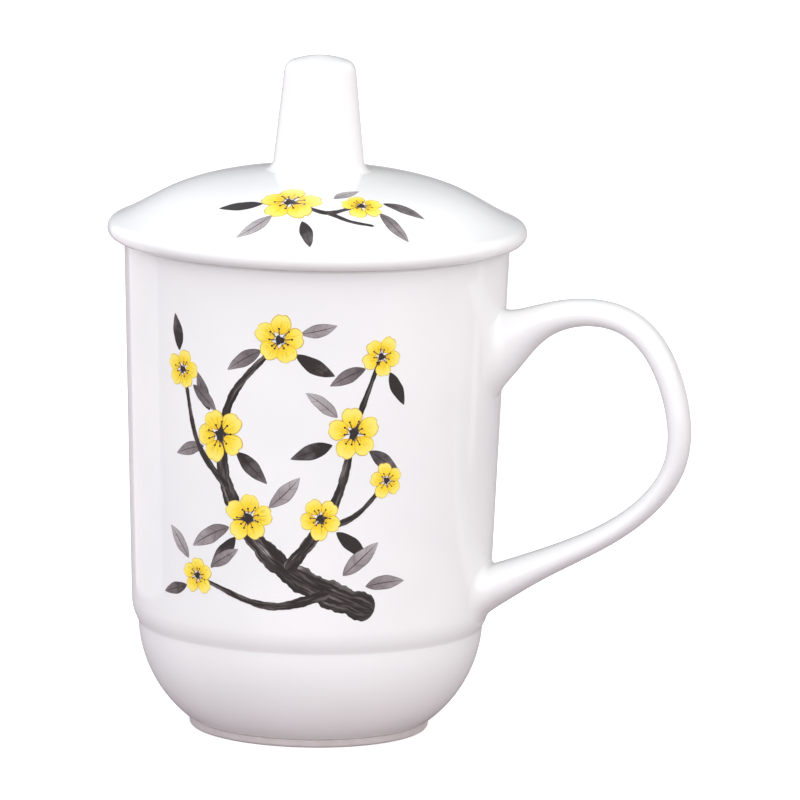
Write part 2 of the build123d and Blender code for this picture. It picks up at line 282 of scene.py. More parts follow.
class Surface:
    """Points, faces and point values of one mesh, gathered from grids."""

    def __init__(self) -> None:
        """Starts with nothing."""
        self.points: list[Array] = []
        self.faces: list[Array] = []
        self.values: dict[str, list[Array]] = {}
        self.count = 0

    def add(self, grids: Array, close_rows: bool = False, **values: Array) -> "Surface":
        """Adds grids whose columns run round and close.

        Formula: each face joins the points (i, j), (i, j + 1), (i + 1, j + 1) and (i + 1, j), so that it
        faces the side from which columns cross rows to the right.

        Args:
            grids: Points in millimetres, as (rows, columns, 3), or with the number of grids in front.
            close_rows: Whether the last row joins the first.
            **values: Point values that spread over (grids, rows, columns).

        Returns:
            This surface.
        """
        grids = grids if grids.ndim == 4 else grids[None]
        shape = grids.shape[:3]
        index = np.arange(math.prod(shape)).reshape(shape) + self.count
        index = np.concatenate([index, index[:, :, :1]], axis=2)
        index = np.concatenate([index, index[:, :1]], axis=1) if close_rows else index
        corners = [index[:, :-1, :-1], index[:, :-1, 1:], index[:, 1:, 1:], index[:, 1:, :-1]]
        self.faces.append(np.stack(corners, axis=-1).reshape(-1, 4))
        self.points.append(grids.reshape(-1, 3) * MILLIMETRE)
        self.count += math.prod(shape)
        for name, value in values.items():
            self.values.setdefault(name, []).append(np.broadcast_to(value, shape).ravel())
        return self

    def to_object(self, name: str) -> bpy.types.Object:
        """Makes the mesh, closes its poles and shades it smooth.

        Args:
            name: Name of the new object.

        Returns:
            The object, at the origin.
        """
        mesh = bpy.data.meshes.new(name)
        mesh.from_pydata(np.concatenate(self.points), [], np.concatenate(self.faces))
        for key, value in self.values.items():
            attribute = mesh.attributes.new(key, "FLOAT", "POINT")
            attribute.data.foreach_set("value", np.concatenate(value).astype(np.float32))
        work = bmesh.new()
        work.from_mesh(mesh)
        bmesh.ops.remove_doubles(work, verts=work.verts, dist=POLE_REACH)
        work.to_mesh(mesh)
        work.free()
        mesh.shade_smooth()
        mesh.set_sharp_from_angle(angle=SHARP_ANGLE)
        piece = bpy.data.objects.new(name, mesh)
        bpy.context.scene.collection.objects.link(piece)
        return piece


def turned_surface(
    profile: Array, soften: float, rows: int, closed: bool = False, segments: int = SEGMENTS
) -> Surface:
    """A softened section turned about the axis, with the section's bend as point value."""
    picked, bend = glazed_rows(profile, soften, rows, closed)
    return Surface().add(turned(picked, segments), close_rows=closed, bend=bend[None, :, None])


# Finishes


class Desk:
    """Adds shader nodes to one new material or world and joins them."""

    def __init__(self, owner: bpy.types.Material | bpy.types.World) -> None:
        """Starts with an empty tree of nodes."""
        self.owner = owner
        self.owner.use_nodes = True
        self.tree = self.owner.node_tree
        self.tree.nodes.clear()

    def node(self, kind: str, inputs: dict | None = None, **settings: object) -> bpy.types.Node:
        """Adds a node.

        Args:
            kind: Type of the node, without the ShaderNode that it starts with.
            inputs: Values or sockets for its inputs, by name or number.
            **settings: Settings of the node itself.

        Returns:
            The node.
        """
        made = self.tree.nodes.new("ShaderNode" + kind)
        for name, value in settings.items():
            setattr(made, name, value)
        for key, value in (inputs or {}).items():
            if isinstance(value, Socket):
                self.tree.links.new(value, made.inputs[key])
            else:
                made.inputs[key].default_value = value
        return made

    def place(self) -> Socket:
        """Object coordinates in metres."""
        return self.node("TexCoord").outputs["Object"]

    def values(self, *names: str) -> list[Socket]:
        """Point values of the mesh."""
        return [self.node("Attribute", attribute_name=name).outputs["Fac"] for name in names]

    def noise(self, vector: Socket, scale: float, detail: float, rough: float = 0.5) -> Socket:
        """Cloudy noise from 0 to 1."""
        inputs = {"Vector": vector, "Scale": scale, "Detail": detail, "Roughness": rough}
        return self.node("TexNoise", inputs).outputs[0]

    def spread(
        self, value: Socket, low: float, high: float, start: float = 0.0, end: float = 1.0
    ) -> Socket:
        """A smooth step of a value from start to end, as the value goes from low to high."""
        inputs = {"Value": value, "From Min": low, "From Max": high, "To Min": start, "To Max": end}
        return self.node("MapRange", inputs, interpolation_type="SMOOTHSTEP").outputs["Result"]

    def blend(self, share: Socket, first: object, second: object) -> Socket:
        """The first colour where share is 0 and the second where it is 1."""
        return self.node("Mix", {0: share, 6: first, 7: second}, data_type="RGBA").outputs[2]

    def ramp(self, value: Socket, stops: list[tuple[float, tuple]]) -> Socket:
        """A colour that runs through stops.

        Args:
            value: Place on the ramp, from 0 to 1.
            stops: Places and colours, in order.

        Returns:
            The colour.
        """
        made = self.node("ValToRGB", {"Fac": value})
        elements = made.color_ramp.elements
        for _ in stops[2:]:
            elements.new(0.5)
        for element, (position, colour) in zip(elements, stops):
            element.position = position
            element.color = colour
        return made.outputs["Color"]

    def reckon(self, operation: str, *values: object) -> Socket:
        """The result of a sum on values."""
        return self.node("Math", dict(enumerate(values)), operation=operation).outputs[0]

    def times(self, first: object, second: object) -> Socket:
        """The product of two values."""
        return self.reckon("MULTIPLY", first, second)

    def vector(self, x: Socket, y: Socket, z: Socket) -> Socket:
        """A vector of three values."""
        return self.node("CombineXYZ", {0: x, 1: y, 2: z}).outputs[0]

    def bump(self, height: Socket, strength: float, distance: float) -> Socket:
        """A normal that follows a height."""
        inputs = {"Height": height, "Strength": strength, "Distance": distance}
        return self.node("Bump", inputs).outputs["Normal"]

    def finish(self, **inputs: object) -> bpy.types.Material:
        """Ends in one surface shader.

        Args:
            **inputs: Inputs of the shader, with underscores for spaces.

        Returns:
            The material.
        """
        named = {key.replace("_", " "): value for key, value in inputs.items()}
        shader = self.node("BsdfPrincipled", named)
        self.node("OutputMaterial", {"Surface": shader.outputs[0]})
        return self.owner


@dataclass(frozen=True)
class PorcelainGlaze:
    """Clear glaze over white porcelain, thin on edges, deeper in hollows and darkened there as painted
    shade.
    """

    body: tuple = (0.800, 0.797, 0.797, 1.0)
    cloud: tuple = (0.835, 0.829, 0.826, 1.0)
    thin: tuple = (0.840, 0.825, 0.800, 1.0)
    # Painted shade: a grey for hollows, darker than pooled clear glaze would be.
    hollow_shade: tuple = (0.530, 0.505, 0.515, 1.0)
    speck: tuple = (0.300, 0.255, 0.215, 1.0)
    cloud_scale: float = 26.0
    speck_scale: float = 70.0
    wave_scale: float = 55.0
    gloss_scale: float = 140.0

    def make(self) -> bpy.types.Material:
        """Makes the glaze: cloudy body colour, painted shade in hollows, rare specks, faintly wavy gloss.

        Returns:
            The material.
        """
        desk = Desk(bpy.data.materials.new("porcelain_glaze"))
        place = desk.place()
        clouds = desk.spread(desk.noise(place, self.cloud_scale, 3.0), 0.35, 0.65)
        colour = desk.blend(clouds, self.body, self.cloud)
        (bend,) = desk.values("bend")
        colour = desk.blend(desk.spread(bend, 0.15, 1.2, 0.0, 0.5), colour, self.thin)
        # Painted shade: concave bends such as the crease under the shoulder turn towards a grey.
        colour = desk.blend(desk.spread(bend, -0.35, -1.1, 0.0, 0.9), colour, self.hollow_shade)
        cells = desk.node("TexVoronoi", {"Vector": place, "Scale": self.speck_scale})
        rare = desk.spread(cells.outputs["Color"], 0.93, 0.95)
        dot = desk.spread(cells.outputs["Distance"], 0.012, 0.006)
        colour = desk.blend(desk.times(rare, dot), colour, self.speck)
        normal = desk.bump(desk.noise(place, self.wave_scale, 1.0), 0.25, 0.0004)
        gloss = desk.spread(desk.noise(place, self.gloss_scale, 2.0), 0.3, 0.7, 0.07, 0.11)
        return desk.finish(Base_Color=colour, Roughness=gloss, IOR=GLASS_INDEX, Normal=normal)


@dataclass(frozen=True)
class BareClay:
    """Fired clay without glaze, dry and faintly sandy."""

    pale: tuple = (0.600, 0.545, 0.545, 1.0)
    warm: tuple = (0.545, 0.490, 0.485, 1.0)
    grit: tuple = (0.400, 0.350, 0.335, 1.0)
    cloud_scale: float = 240.0
    grain_scale: float = 2600.0

    def make(self) -> bpy.types.Material:
        """Makes the clay, clouded, with dark grit and a rough grain.

        Returns:
            The material.
        """
        desk = Desk(bpy.data.materials.new("bare_clay"))
        place = desk.place()
        clouds = desk.spread(desk.noise(place, self.cloud_scale, 4.0), 0.35, 0.7)
        colour = desk.blend(clouds, self.pale, self.warm)
        grain = desk.noise(place, self.grain_scale, 3.0, 0.6)
        colour = desk.blend(desk.spread(grain, 0.66, 0.74, 0.0, 0.7), colour, self.grit)
        rough = desk.spread(grain, 0.3, 0.7, 0.78, 0.92)
        return desk.finish(Base_Color=colour, Roughness=rough, Normal=desk.bump(grain, 0.6, 0.0002))


@dataclass(frozen=True)
class PetalEnamel:
    """Yellow enamel of the petals, deep at their base and pale at their tips."""

    base: tuple = (0.520, 0.260, 0.012, 1.0)
    deep: tuple = (0.860, 0.560, 0.022, 1.0)
    clear: tuple = (0.915, 0.690, 0.045, 1.0)
    tip: tuple = (0.930, 0.770, 0.160, 1.0)
    line: tuple = (0.430, 0.230, 0.020, 1.0)
    wash_scale: float = 420.0
    vein_scale: float = 7.0
    roughness: float = 0.14

    def make(self) -> bpy.types.Material:
        """Makes the enamel, with a wash along each petal, fine veins and a drawn edge.

        Returns:
            The material.
        """
        desk = Desk(bpy.data.materials.new("petal_enamel"))
        radial, side, rim, tone = desk.values("radial", "side", "rim", "tone")
        wash = desk.noise(desk.place(), self.wash_scale, 3.0)
        stops = [(0.22, self.base), (0.45, self.deep), (0.72, self.clear), (1.0, self.tip)]
        colour = desk.ramp(desk.reckon("MULTIPLY_ADD", wash, 0.30, radial), stops)
        veins = desk.noise(desk.vector(side, desk.times(radial, wash), tone), self.vein_scale, 1.0)
        faint = desk.times(desk.spread(veins, 0.56, 0.66), desk.spread(radial, 0.95, 0.35, 0.0, 0.55))
        drawn = desk.times(desk.spread(rim, 0.86, 0.97), desk.spread(wash, 0.3, 0.6, 0.25, 0.85))
        for share in (faint, drawn):
            colour = desk.blend(share, colour, self.line)
        normal = desk.bump(wash, 0.15, 0.0001)
        return desk.finish(Base_Color=colour, Roughness=self.roughness, IOR=GLASS_INDEX, Normal=normal)


@dataclass(frozen=True)
class InkEnamel:
    """Dark enamel of twigs and flower hearts, dry where the brush ran out."""

    ink: tuple = (0.020, 0.015, 0.014, 1.0)
    worn: tuple = (0.110, 0.093, 0.088, 1.0)
    dry: tuple = (0.420, 0.395, 0.385, 1.0)
    hair_scale: float = 1.9
    hair_stretch: float = 0.09
    cloud_scale: float = 150.0
    roughness: float = 0.16

    def make(self) -> bpy.types.Material:
        """Makes the enamel, with streaks along the stroke that open into dry brush marks.

        Returns:
            The material.
        """
        desk = Desk(bpy.data.materials.new("ink_enamel"))
        along, across, tone = desk.values("along", "across", "tone")
        streaks = desk.vector(across, desk.times(along, self.hair_stretch), tone)
        hairs = desk.noise(streaks, self.hair_scale, 2.0, 0.6)
        colour = desk.blend(desk.spread(hairs, 0.42, 0.72), self.ink, self.worn)
        cloud = desk.noise(desk.place(), self.cloud_scale, 2.0)
        bare = desk.times(desk.spread(hairs, 0.57, 0.66), desk.spread(cloud, 0.47, 0.60, 0.0, 0.75))
        colour = desk.blend(desk.times(bare, desk.spread(tone, 1.1, 1.9)), colour, self.dry)
        normal = desk.bump(hairs, 0.15, 0.0001)
        return desk.finish(Base_Color=colour, Roughness=self.roughness, IOR=GLASS_INDEX, Normal=normal)


@dataclass(frozen=True)
class WashEnamel:
    """Thinned ink of the leaves, from nearly black to grey, with darker veins and edges."""

    ink: tuple = (0.024, 0.019, 0.019, 1.0)
    grey: tuple = (0.215, 0.185, 0.190, 1.0)
    mist: tuple = (0.430, 0.395, 0.400, 1.0)
    cloud_scale: float = 330.0
    rib_pitch: float = 0.16
    roughness: float = 0.15

    def make(self) -> bpy.types.Material:
        """Makes the enamel, with a wash along each leaf, a midrib, side veins and a wet edge.

        Returns:
            The material.
        """
        desk = Desk(bpy.data.materials.new("wash_enamel"))
        along, across, tone = desk.values("along", "across", "tone")
        edge = desk.reckon("ABSOLUTE", across)
        cloud = desk.noise(desk.place(), self.cloud_scale, 3.0, 0.6)
        wet = desk.reckon("MULTIPLY_ADD", cloud, 0.55, tone)
        depth = desk.reckon("MULTIPLY_ADD", along, 0.30, wet)
        colour = desk.ramp(depth, [(0.20, self.ink), (0.62, self.grey), (1.0, self.mist)])
        slant = desk.reckon("MULTIPLY_ADD", edge, -self.rib_pitch, along)
        comb = desk.reckon("PINGPONG", slant, self.rib_pitch)
        rim = desk.spread(edge, 0.80, 1.0, 0.0, 0.55)
        rib = desk.spread(comb, 0.012, 0.0, 0.0, 0.6)
        middle = desk.spread(edge, 0.10, 0.03, 0.0, 0.85)
        for share in (rim, rib, middle):
            colour = desk.blend(share, colour, self.ink)
        normal = desk.bump(cloud, 0.12, 0.0001)
        return desk.finish(Base_Color=colour, Roughness=self.roughness, IOR=GLASS_INDEX, Normal=normal)


@dataclass(frozen=True)
class MattPaper:
    """Matt paper, barely clouded, which may be lit through from below as a light table is."""

    name: str
    pale: tuple
    shade: tuple
    roughness: float
    glow: float = 0.0
    cloud_scale: float = 3.0

    def make(self) -> bpy.types.Material:
        """Makes the paper.

        Returns:
            The material.
        """
        desk = Desk(bpy.data.materials.new(self.name))
        colour = desk.blend(desk.noise(desk.place(), self.cloud_scale, 2.0), self.pale, self.shade)
        light = {"Emission_Color": WHITE, "Emission_Strength": self.glow}
        return desk.finish(Base_Color=colour, Roughness=self.roughness, **light)


@dataclass
class Finishes:
    """The materials of the cup, each made once."""

    made: dict[Slot, bpy.types.Material] = field(default_factory=dict)

    def __post_init__(self) -> None:
        """Makes the material of each slot."""
        kinds = {
            Slot.GLAZE: PorcelainGlaze(),
            Slot.BARE_FOOT: BareClay(),
            Slot.YELLOW: PetalEnamel(),
            Slot.INK: InkEnamel(),
            Slot.GREY: WashEnamel(),
        }
        self.made = {slot: kind.make() for slot, kind in kinds.items()}

    def dress(self, surface: Surface, name: str, body: Body, slot: Slot, node: str) -> None:
        """Makes a piece from a surface and sets it on its body in place of a CAD node.

        Args:
            surface: The piece's surface.
            name: The piece's name.
            body: The body that it rides on.
            slot: Its finish.
            node: The CAD node that it stands for.
        """
        piece = surface.to_object(name)
        piece.data.materials.append(self.made[slot])
        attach(piece, body.value)
        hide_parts(node)
        LOG.info("%s: %d faces, %s on %s", name, len(piece.data.polygons), slot.value, body.value)


# Pieces of the cup


@dataclass
class CupShell:
    """The cup's glazed body: floor, rounded base, step, flared wall and rounded rim."""

    height: float = 106.95
    mouth_radius: float = 41.73
    wall: float = 3.2
    rim_round: float = 1.3
    shoulder_radius: float = 38.95
    shoulder_height: float = 28.0
    step_height: float = 23.0
    step_inset: float = 1.5
    bowl_bulge: float = 2.75
    foot_radius: float = 26.0
    foot_height: float = 1.8
    floor_top: float = 6.0
    inside_corner: float = 20.0
    crease_ease: float = 0.3
    soften: float = 0.25
    rows: int = 240

    def lean(self) -> float:
        """How far the wall leans out from upright, in radians."""
        return math.atan2(self.mouth_radius - self.shoulder_radius, self.height - self.shoulder_height)

    def wall_radius(self, height: Array | float) -> Array | float:
        """Outer radius of the flared wall at a height."""
        taper = (self.mouth_radius - self.shoulder_radius) / (self.height - self.shoulder_height)
        return self.mouth_radius - taper * (self.height - height)

    def shoulder_line(self) -> Array:
        """The shoulder from the crease up to the wall, which it meets without a corner.

        Formula: an arc whose end has the direction of the wall.

        Returns:
            Rows of (radius, height).
        """
        crease = np.array([self.shoulder_radius - self.step_inset, self.step_height])
        end = np.array([self.shoulder_radius, self.shoulder_height])
        chord = end - crease
        turn = math.pi / 2 - self.lean() - math.atan2(chord[1], chord[0])
        return bulged_points(crease, end, np.linalg.norm(chord) / 2 * math.tan(turn / 2))

    def outer_radius(self, height: Array) -> Array:
        """Outer radius from the crease up: that of the shoulder, and above it that of the wall.

        Args:
            height: Heights above the foot.

        Returns:
            The radius at each height.
        """
        shoulder = self.shoulder_line()
        low = np.interp(height, shoulder[:, 1], shoulder[:, 0])
        return np.where(height < self.shoulder_height, low, self.wall_radius(height))

    def profile(self) -> Array:
        """The whole section of the shell.

        Formula: from the middle of the underside out to the foot, up the bulged bowl, through the eased
        crease, round the shoulder, up the straight wall, over the rim and down the inside to the middle of
        the floor.

        Returns:
            Rows of (radius, height).
        """
        lean = math.degrees(self.lean())
        shoulder = self.shoulder_line()
        bowl = bulged_points(np.array([self.foot_radius, self.foot_height]), shoulder[0], self.bowl_bulge)
        top = self.height - self.rim_round
        inset = self.rim_round / math.cos(self.lean())
        outer, inner = self.wall_radius(top) - inset, self.wall_radius(top) - self.wall + inset
        rim_out = arc_points((outer, top), self.rim_round, -lean, 90)
        rim_in = arc_points((inner, top), self.rim_round, 90, 180 - lean)
        corner = self.wall_radius(self.floor_top) - self.wall
        reach = self.inside_corner * math.tan(math.radians(45 - lean / 2))
        middle = (corner - reach, self.floor_top + self.inside_corner)
        inside = arc_points(middle, self.inside_corner, -lean, -90, count=40)
        outside = eased_corner(bowl, shoulder, self.crease_ease)
        start, end = [[0.0, self.foot_height]], [[0.0, self.floor_top]]
        return np.concatenate([start, outside, rim_out, rim_in, inside, end])

    def build(self, finishes: Finishes) -> None:
        """Makes the shell by turning its section about the axis."""
        surface = turned_surface(self.profile(), self.soften, self.rows)
        finishes.dress(surface, "cup_shell", Body.CUP, Slot.GLAZE, "cup_body")


@dataclass
class FootRim:
    """The unglazed ring that the cup stands on."""

    radius: float = 26.0
    width: float = 3.4
    height: float = 1.8
    rounding: float = 0.7
    soften: float = 0.1
    rows: int = 56

    def build(self, finishes: Finishes) -> None:
        """Makes the ring by turning a closed section with rounded lower edges.

        Args:
            finishes: The cup's materials.
        """
        inner = self.radius - self.width
        section = ring_section(inner, self.radius, 0.0, self.height, self.rounding, count=12)
        surface = turned_surface(section, self.soften, self.rows, closed=True)
        finishes.dress(surface, "foot_rim", Body.CUP, Slot.BARE_FOOT, "foot_ring")


@dataclass
class StrapHandle:
    """The loop handle: an oval strap that grows out of the wall, bends round and comes back to it."""

    cup: CupShell
    top_root: float = 85.5
    top_slope: float = 1.25
    crown: tuple[float, float] = (12.5, 93.1)
    brow: tuple[float, float] = (27.1, 92.0)
    turn: tuple[float, float] = (37.5, 76.2)
    bend: tuple[float, float] = (37.5, 60.82)
    heel: tuple[float, float] = (31.1, 51.6)
    arm: tuple[float, float] = (9.6, 38.5)
    low_root: float = 32.2
    low_slope: float = 0.78
    root_depth: float = 7.0
    thickness: float = 4.7
    taper: float = 2.5
    width: float = 10.5
    top_swell: float = 12.9
    top_fade: float = 5.6
    low_swell: float = 7.1
    low_fade: float = 12.8
    width_swell: float = 7.0
    fillet: float = 1.4
    side_fillet: float = 3.5
    hug: float = 9.0
    squareness: float = 2.25
    sink: float = 0.25
    slide: float = 7.0
    line_points: int = 1500
    rows: int = 300
    columns: int = 72

    def centre_line(self) -> Array:
        """The line through the middle of the strap.

        Formula: a spline from inside the wall at the top root through the crown, brow, turn, bend, heel and
        arm to inside the wall at the low root.

        Returns:
            Rows of (x, z).
        """
        top_way = unit(np.array([1.0, self.top_slope]))
        low_way = unit(np.array([-1.0, -self.low_slope]))
        top = np.array([self.cup.wall_radius(self.top_root), self.top_root]) - top_way * self.root_depth
        low = np.array([self.cup.wall_radius(self.low_root), self.low_root]) + low_way * self.root_depth
        places = np.array([self.crown, self.brow, self.turn, self.bend, self.heel, self.arm])
        places[:, 0] += self.cup.mouth_radius
        return spline_line(np.vstack([top, places, low]), top_way, low_way, self.line_points, pace=1.0)

    def flare(self, gap: Array, reach: float) -> Array:
        """What a fillet adds at a gap from the wall: a quarter circle, and a line inside the wall."""
        share = 1 - np.clip(gap / reach, 0.0, 1.0)
        return reach * (1 - np.sqrt(1 - share**2)) + self.slide * np.maximum(-gap, 0.0)

    def grid(self) -> Array:
        """The strap's surface.

        Formula: at a distance s along the centre line the section is a superellipse in a plane across the
        line. Its half sizes are those of the strap, which thins by its taper from the top root to the low
        one, plus a swelling that fades as exp(-gap / fade) from each root plus the fillet. Near a root the
        plane turns to face the wall, and points are shifted so that the last row lies on the wall.

        Returns:
            Grid of points, along the strap by rows and round it by columns.
        """
        line = self.centre_line()
        along = lengths_along(line)
        ends = self.root_depth - self.sink
        place = (1 - np.cos(np.linspace(0.0, np.pi, self.rows))) / 2
        at = ends + place * (along[-1] - 2 * ends)
        centre = points_at(at, along, line)
        facing = points_at(at, along, unit(np.gradient(line, axis=0)))
        gaps = (at - self.root_depth, along[-1] - at - self.root_depth)
        top_gap, low_gap = gaps
        near_top = np.exp(-np.maximum(top_gap, 0.0) / self.top_fade)
        near_low = np.exp(-np.maximum(low_gap, 0.0) / self.low_fade)
        facing = facing * (1 - near_top - near_low)[:, None]
        facing[:, 0] += near_top - near_low
        facing = unit(facing)
        flare = sum(self.flare(np.maximum(gap, 0.0), self.fillet) for gap in gaps)
        aside_flare = sum(self.flare(gap, self.side_fillet) for gap in gaps)
        strap = self.thickness + self.taper * (0.5 - at / along[-1])
        deep = (strap + self.top_swell * near_top + self.low_swell * near_low) / 2 + flare
        wide = (self.width + self.width_swell * (near_top + near_low)) / 2 + aside_flare
        shut = np.ones(self.rows)
        shut[[0, -1]] = 0.0
        angle = np.linspace(0.0, 2 * np.pi, self.columns, endpoint=False)
        power = 2 / self.squareness
        over, aside = (np.sign(wave) * np.abs(wave) ** power for wave in (np.cos(angle), -np.sin(angle)))
        rise = (deep * shut)[:, None] * over
        x = centre[:, :1] - facing[:, 1:] * rise
        z = centre[:, 1:] + facing[:, :1] * rise
        y = (wide * shut)[:, None] * aside
        wall_x = np.sqrt(self.cup.outer_radius(z) ** 2 - y**2)
        for gap, root in zip(gaps, (self.root_depth, along[-1] - self.root_depth)):
            hold = np.clip(1 - gap / self.hug, 0.0, 1.0)[:, None]
            x = x + hold**2 * (3 - 2 * hold) * (wall_x - np.interp(root, along, line[:, 0]))
        return np.stack([x, y, z], axis=-1)

    def build(self, finishes: Finishes) -> None:
        """Makes the handle."""
        finishes.dress(Surface().add(self.grid()), "strap_handle", Body.CUP, Slot.GLAZE, "handle")


@dataclass
class DomedLid:
    """The loose lid: a dome with a fat rounded edge, a locating ring below it and a tall hollow knob."""

    seat: float = 106.95
    radius: float = 45.41
    edge_radius: float = 2.1
    edge_slope: float = 0.41
    lid_wall: float = 3.6
    cove: float = 5.1
    dome_top: float = 122.3
    start_slope: float = 0.12
    middle: tuple[float, float] = (33.0, 116.85)
    ring_radius: float = 37.73
    ring_thickness: float = 3.2
    ring_depth: float = 8.0
    ring_round: float = 1.2
    knob_radius: float = 10.0
    knob_top_radius: float = 7.5
    knob_wall: float = 3.0
    knob_top: float = 147.1
    knob_crown: float = 1.0
    crown_share: float = 0.18
    crown_angle: float = 76.0
    knob_round: float = 2.6
    knob_fillet: float = 2.4
    knob_sink: float = 0.5
    soften: float = 0.25
    dome_rows: int = 190
    ring_rows: int = 70
    knob_rows: int = 120
    knob_segments: int = 160

    def ways(self) -> tuple[Array, Array]:
        """Directions of the dome where it leaves the knob and where it reaches the edge."""
        return np.array([1.0, -self.start_slope]), np.array([1.0, -self.edge_slope])

    def dome_line(self) -> Array:
        """The upper line of the dome from the knob out to the rounded edge.

        Formula: a spline through the middle point that ends where the edge's circle has the edge slope.

        Returns:
            Rows of (radius, height).
        """
        reach = self.edge_radius / math.hypot(1.0, self.edge_slope)
        end_radius = self.radius - self.edge_radius + reach * self.edge_slope
        end = (end_radius, self.seat + self.edge_radius + reach)
        points = np.array([(self.knob_radius, self.dome_top), self.middle, end])
        return spline_line(points, *self.ways(), count=240)

    def dome_height(self, radius: Array) -> Array:
        """Height of the dome's upper side at a distance from the axis."""
        line = self.dome_line()
        return np.interp(radius, line[:, 0], line[:, 1])

    def dome_profile(self) -> Array:
        """The closed section of the lid body.

        Formula: out along the spline of the ceiling, down an arc to the flat seat, round the edge, back
        along the dome and down through the hole under the knob.

        Returns:
            Rows of (radius, height).
        """
        bore = self.knob_radius - self.knob_wall
        inner = self.ring_radius - self.ring_thickness
        start = (bore, self.dome_top - self.lid_wall)
        end = (inner - self.cove, self.middle[1] - self.lid_wall)
        ceiling = spline_line(np.array([start, end]), *self.ways(), count=80)
        foot = np.array([inner, self.seat])
        chord = foot - ceiling[-1]
        turn = math.atan2(-self.edge_slope, 1.0) - math.atan2(chord[1], chord[0])
        cove = bulged_points(ceiling[-1], foot, -np.linalg.norm(chord) / 2 * math.tan(turn / 2))
        nose = (self.radius - self.edge_radius, self.seat + self.edge_radius)
        slope = math.degrees(math.atan(self.edge_slope))
        edge = arc_points(nose, self.edge_radius, -90, 90 - slope, count=60)
        hole = np.array([[bore, self.dome_top]])
        return np.concatenate([ceiling, cove, edge, self.dome_line()[::-1], hole, ceiling[:1]])

    def ring_profile(self) -> Array:
        """The closed section of the locating ring."""
        inner, bottom = self.ring_radius - self.ring_thickness, self.seat - self.ring_depth
        return ring_section(inner, self.ring_radius, bottom, self.seat, self.ring_round, count=16)

    def knob_profile(self) -> Array:
        """The section of the hollow knob.

        Formula: from the middle of the hollow's ceiling out and down to its mouth, out inside the dome, up
        a fillet that leaves the dome along its slope and the tapered side, round the edge and over the
        crowned top to the axis.

        Returns:
            Rows of (radius, height).
        """
        bore = self.knob_radius - self.knob_wall
        ceiling = self.knob_top - self.knob_crown - self.knob_wall
        tilt = math.atan(self.start_slope)
        base = self.knob_radius + self.knob_fillet * (1 - math.sin(tilt))
        foot = float(self.dome_height(np.array(base)))
        lean = (self.knob_radius - self.knob_top_radius) / (self.knob_top - self.knob_crown - self.dome_top)
        rise = foot + self.knob_fillet * math.cos(tilt)
        side_start = self.knob_radius - lean * (rise - self.dome_top)
        middle = (side_start + self.knob_fillet, rise)
        fillet = arc_points(middle, self.knob_fillet, 270 - math.degrees(tilt), 180, count=24)
        shoulder = self.knob_top - self.knob_crown - self.knob_round
        side_end = self.knob_radius - lean * (shoulder - self.dome_top)
        corner = (side_end - self.knob_round, shoulder)
        side_angle = math.degrees(math.atan(lean))
        edge = arc_points(corner, self.knob_round, side_angle, self.crown_angle, count=24)
        summit = np.array([0.0, self.knob_top])
        top = bulged_points(edge[-1], summit, self.knob_crown * self.crown_share, count=24)
        low = foot - self.knob_sink
        hollow = [
            [0.0, ceiling],
            [self.knob_top_radius - self.knob_wall, ceiling],
            [bore, self.dome_top],
            [bore, low],
            [base + self.knob_sink, low],
        ]
        return np.concatenate([hollow, fillet, edge, top])

    def build(self, finishes: Finishes) -> None:
        """Makes the dome, the ring and the knob by turning their sections about the axis.

        Args:
            finishes: The cup's materials.
        """
        dome = turned_surface(self.dome_profile(), self.soften, self.dome_rows, closed=True)
        finishes.dress(dome, "lid_dome", Body.LID, Slot.GLAZE, "lid_body")
        ring = turned_surface(self.ring_profile(), self.soften, self.ring_rows, closed=True)
        finishes.dress(ring, "lid_skirt", Body.LID_SEAT, Slot.GLAZE, "lid_locating_ring")
        knob = turned_surface(self.knob_profile(), self.soften, self.knob_rows, False, self.knob_segments)
        finishes.dress(knob, "lid_grip", Body.LID, Slot.GLAZE, "lid_knob")


# Painted sprays


@dataclass(frozen=True)
class WallGround:
    """The flared wall as ground for a spray. A flat point is an arc length round the wall and a height."""

    cup: CupShell
    foot: float = 31.0

    def spot(self, across: Array, along: Array) -> Array:
        """Flat points of places on the spray."""
        return np.stack([across, along], axis=-1)

    def lay(self, flat: Array, lift: Array) -> Array:
        """Lays flat points on the wall.

        Formula: at the wall's radius R for its height, a point turns by across / R from the front.

        Args:
            flat: Points as (across, along).
            lift: How far each point stands off the wall.

        Returns:
            Points as (x, y, z).
        """
        height = self.foot + flat[..., 1]
        radius = self.cup.wall_radius(height)
        angle = flat[..., 0] / radius
        out = radius + lift
        return np.stack([out * np.sin(angle), -out * np.cos(angle), height], axis=-1)


@dataclass(frozen=True)
class DomeGround:
    """The dome of the lid as ground for a spray. A flat point is its place in the view from above."""

    lid: DomedLid
    angle: float = 14.0

    def spot(self, across: Array, along: Array) -> Array:
        """Flat points of places at a distance along from the axis and an arc across from the middle."""
        turn = math.radians(self.angle) + across / along
        return np.stack([along * np.sin(turn), -along * np.cos(turn)], axis=-1)

    def lay(self, flat: Array, lift: Array) -> Array:
        """Lays flat points on the dome: each keeps its place from above and takes the height there."""
        height = self.lid.dome_height(np.linalg.norm(flat, axis=-1)) + lift
        return np.concatenate([flat, height[..., None]], axis=-1)


